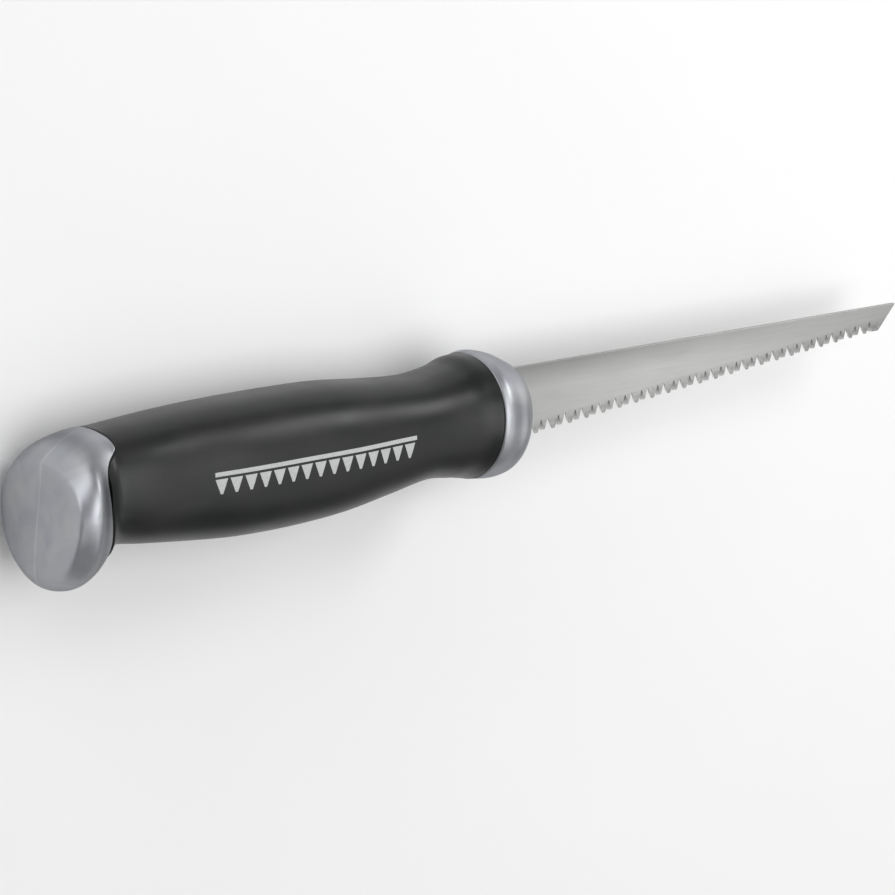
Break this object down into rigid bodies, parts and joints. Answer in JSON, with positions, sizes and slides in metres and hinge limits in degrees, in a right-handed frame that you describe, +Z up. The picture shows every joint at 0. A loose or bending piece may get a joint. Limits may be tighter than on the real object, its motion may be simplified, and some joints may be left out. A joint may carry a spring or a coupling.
{
  "type": "drywall jab saw",
  "caption": "Drywall jab saw: a fixed pointed blade with alternately ground teeth, held in a soft-grip handle with a hard front collar and a hooked end cap.",
  "frame": {"origin": "centre of the bounding box at its lowest level, where the saw lies on its left side", "axes": "+X along the blade towards its point, +Y towards the spine, away from the teeth, +Z up, out of the saw's right side"},
  "size_m": [0.3082, 0.0422, 0.039],
  "materials": {
    "blade_steel": "matt, finely brushed along the blade, bright on the ground tooth faces",
    "rivet_zinc": "zinc-plated, satin",
    "core_plastic": "matt moulded",
    "silver_plastic": "satin silver-grey moulded plastic",
    "grip_rubber": "satin black soft-touch rubber",
    "print_ink": "matt light grey pad-printed ink"
  },
  "bodies": {
    "root": {"blade": "blade_steel", "tang_rivet_front": "rivet_zinc", "tang_rivet_rear": "rivet_zinc", "core_left": "core_plastic", "core_right": "core_plastic", "collar": "silver_plastic", "pommel": "silver_plastic", "grip": "grip_rubber"}
  },
  "joints": []
}
